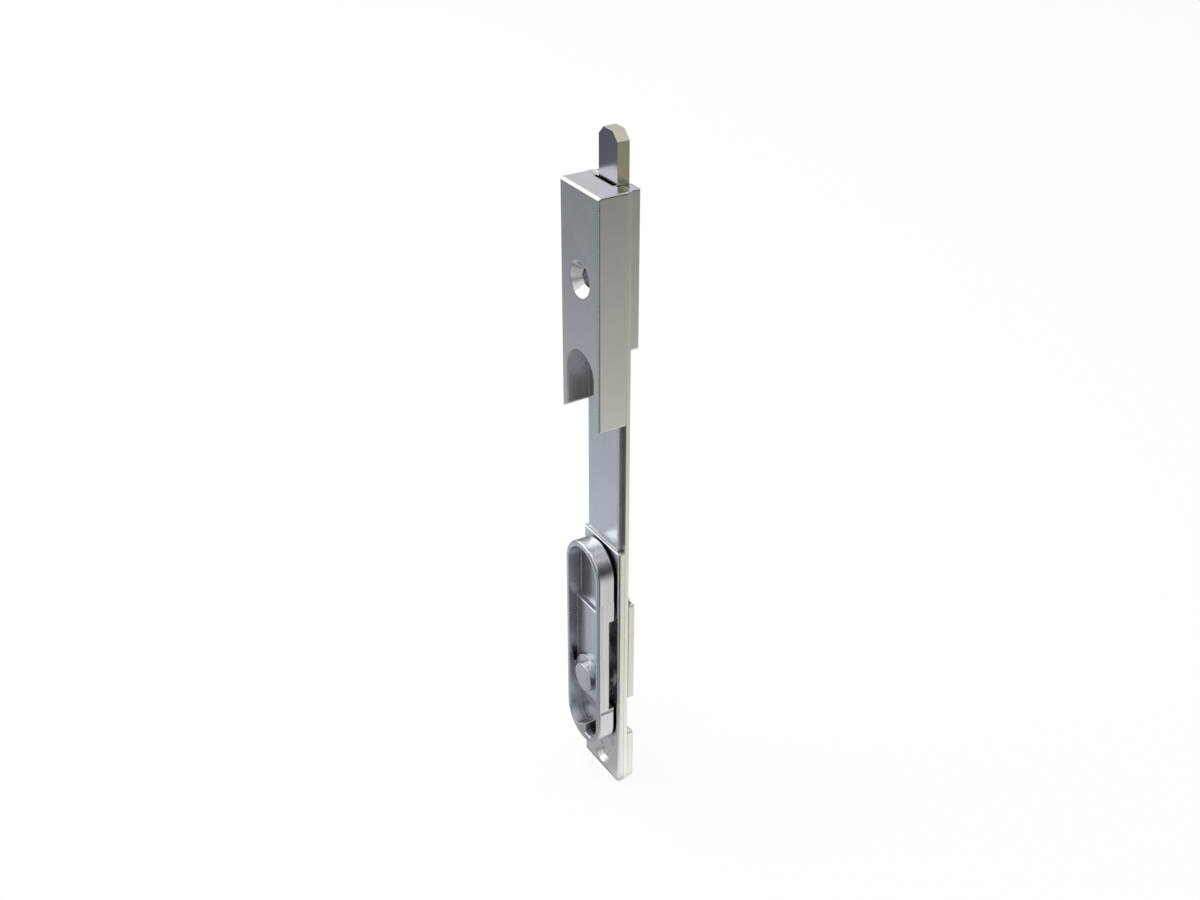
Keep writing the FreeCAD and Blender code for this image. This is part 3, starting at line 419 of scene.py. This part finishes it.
paper = new_material("white_paper")
place = add_node(paper, "ShaderNodeTexCoord").outputs["Object"]
along = add_node(paper, "ShaderNodeVectorMath", {0: place}, {1: POOL_LINE}, operation="DOT_PRODUCT")
reach = add_node(
    paper, "ShaderNodeMapRange", {"Value": along.outputs["Value"]},
    {"From Min": -POOL_REACH, "From Max": POOL_REACH})
pool = add_node(paper, "ShaderNodeValToRGB", {"Fac": reach.outputs["Result"]})
set_ramp(
    pool, [(0.5 + metres / (2 * POOL_REACH), (light, light, light, 1.0)) for metres, light in POOL])
angle = add_node(paper, "ShaderNodeTexGradient", {"Vector": place}, gradient_type="RADIAL")
towards = add_node(paper, "ShaderNodeValToRGB", {"Fac": angle.outputs["Fac"]})
set_ramp(towards, [(turn, linear(colour)) for turn, colour in TOWARDS])
from_foot = add_node(
    paper, "ShaderNodeVectorMath", {0: place}, {1: (0.0, 0.0, floor_height)}, operation="DISTANCE")
beyond = add_node(
    paper, "ShaderNodeMapRange", {"Value": from_foot.outputs["Value"]},
    {"From Min": FADE_STARTS, "From Max": FADE_ENDS})
glow = add_node(
    paper, "ShaderNodeMix",
    {"Factor": beyond.outputs["Result"], "A": pool.outputs["Color"], "B": towards.outputs["Color"]},
    data_type="RGBA", blend_type="MULTIPLY")
# Painted reflection: the floor glows for mirrored rays only, with no lamp behind it.
painted_glow = add_node(paper, "ShaderNodeEmission", {"Color": glow.outputs["Result"]})
print("mirrored floor:", len(POOL), "stops along it and", len(TOWARDS), "round the bolt")

# %% [markdown]
# What the camera sees of the floor
#
# The camera sees the floor as nearly pure white, with the bolt's soft shadow. A fifth of what
# it sees is the real floor in the lamps' light, which takes the shadow, and the rest glows
# evenly. The lamps make white paper about 0.8 bright, so the two add up to white. Light that
# scatters from the floor onto the bolt comes from plain white paper; mirrored rays see the
# painted reflection instead.

# %% White paper
SHADOW_SHARE = 0.2
PAPER_LIGHT = 0.8

looking = add_node(paper, "ShaderNodeLightPath")
mirrored = add_node(
    paper, "ShaderNodeMath",
    {0: looking.outputs["Is Glossy Ray"], 1: looking.outputs["Is Transmission Ray"]}, operation="MAXIMUM")
white = add_node(
    paper, "ShaderNodeEmission", inputs={"Color": "#FFFFFF", "Strength": 1 - SHADOW_SHARE * PAPER_LIGHT})
shade = add_node(
    paper, "ShaderNodeBsdfDiffuse", inputs={"Color": (SHADOW_SHARE, SHADOW_SHARE, SHADOW_SHARE, 1.0)})
seen = add_node(paper, "ShaderNodeAddShader", {0: white.outputs["Emission"], 1: shade.outputs["BSDF"]})
matte = add_node(paper, "ShaderNodeBsdfDiffuse", inputs={"Color": "#F2F2F2"})
not_seen = add_node(
    paper, "ShaderNodeMixShader",
    {0: mirrored.outputs["Value"], 1: matte.outputs["BSDF"], 2: painted_glow.outputs["Emission"]})
whole = add_node(
    paper, "ShaderNodeMixShader",
    {0: looking.outputs["Is Camera Ray"], 1: not_seen.outputs["Shader"], 2: seen.outputs["Shader"]})
add_node(paper, "ShaderNodeOutputMaterial", {"Surface": whole.outputs["Shader"]})
floor.data.materials.append(paper)
print("floor finish:", paper.name)

# %% [markdown]
# Lamps
#
# Two soft panels light the bolt. The key panel stands where the rounded top edges mirror it
# to the camera, which draws the bright line along the top of the housing, the lever's rim
# and the lower half of each screw seat. A smaller, weaker panel overhead lifts what faces up.

# %% Lamps


def add_panel(name, place, wide, watts):
    """A soft square white lamp at a place in metres, turned to the middle of the bolt."""
    lamp = bpy.data.lights.new(name, "AREA")
    lamp.size = wide
    lamp.energy = watts
    panel = bpy.data.objects.new(name, lamp)
    bpy.context.collection.objects.link(panel)
    panel.location = place
    panel.rotation_euler = (-Vector(place)).to_track_quat("-Z", "Y").to_euler()
    return panel


key_light = add_panel("key_light", place=(-0.74, -0.5, 0.5), wide=1.1, watts=4.2)
top_light = add_panel("top_light", place=(0.1, -0.1, 1.0), wide=0.5, watts=1.5)
print("lamps:", key_light.name, top_light.name)

# %% [markdown]
# Room
#
# The room is dim near the horizon and brighter higher up. It is darker still on the right
# behind, which the lever's rounded shoulder mirrors, and half as bright straight overhead,
# which the middle of its rounded top mirrors. Below, From is where such a change begins and
# ends, and To is how bright the room is there. The camera itself sees the room as nearly
# white. The view is Standard, so each colour stays as it is given.

# %% Room
DARK_SIDE = (0.86, 0.5, 0.0)
LOWER_WALLS = {"From Min": 0.05, "From Max": 0.5, "To Min": 0.2, "To Max": 0.86}
SCREEN = {"From Min": 0.6, "From Max": 0.9, "To Min": 1.0, "To Max": 0.15}
CEILING = {"From Min": 0.74, "From Max": 0.88, "To Min": 1.0, "To Max": 0.5}

world = bpy.data.worlds.new("room")
bpy.context.scene.world = world
world.use_nodes = True
world.node_tree.nodes.clear()
sky = add_node(world, "ShaderNodeTexCoord").outputs["Generated"]
height = add_node(world, "ShaderNodeSeparateXYZ", {"Vector": sky}).outputs["Z"]
sideways = add_node(world, "ShaderNodeVectorMath", {0: sky}, {1: DARK_SIDE}, operation="DOT_PRODUCT")
lift = add_node(
    world, "ShaderNodeMapRange", {"Value": height}, LOWER_WALLS, interpolation_type="SMOOTHSTEP")
screen = add_node(
    world, "ShaderNodeMapRange", {"Value": sideways.outputs["Value"]}, SCREEN,
    interpolation_type="SMOOTHSTEP")
ceiling = add_node(
    world, "ShaderNodeMapRange", {"Value": height}, CEILING, interpolation_type="SMOOTHSTEP")
walls = add_node(
    world, "ShaderNodeMath", {0: lift.outputs["Result"], 1: screen.outputs["Result"]}, operation="MULTIPLY")
level = add_node(
    world, "ShaderNodeMath", {0: walls.outputs["Value"], 1: ceiling.outputs["Result"]},
    operation="MULTIPLY")
straight = add_node(world, "ShaderNodeLightPath").outputs["Is Camera Ray"]
shown = add_node(world, "ShaderNodeMath", {0: level.outputs["Value"], 1: straight}, operation="MAXIMUM")
room = add_node(
    world, "ShaderNodeBackground", {"Strength": shown.outputs["Value"]}, {"Color": "#F4F5F8"})
add_node(world, "ShaderNodeOutputWorld", {"Surface": room.outputs["Background"]})
bpy.context.scene.view_settings.view_transform = "Standard"
print("room:", world.name)
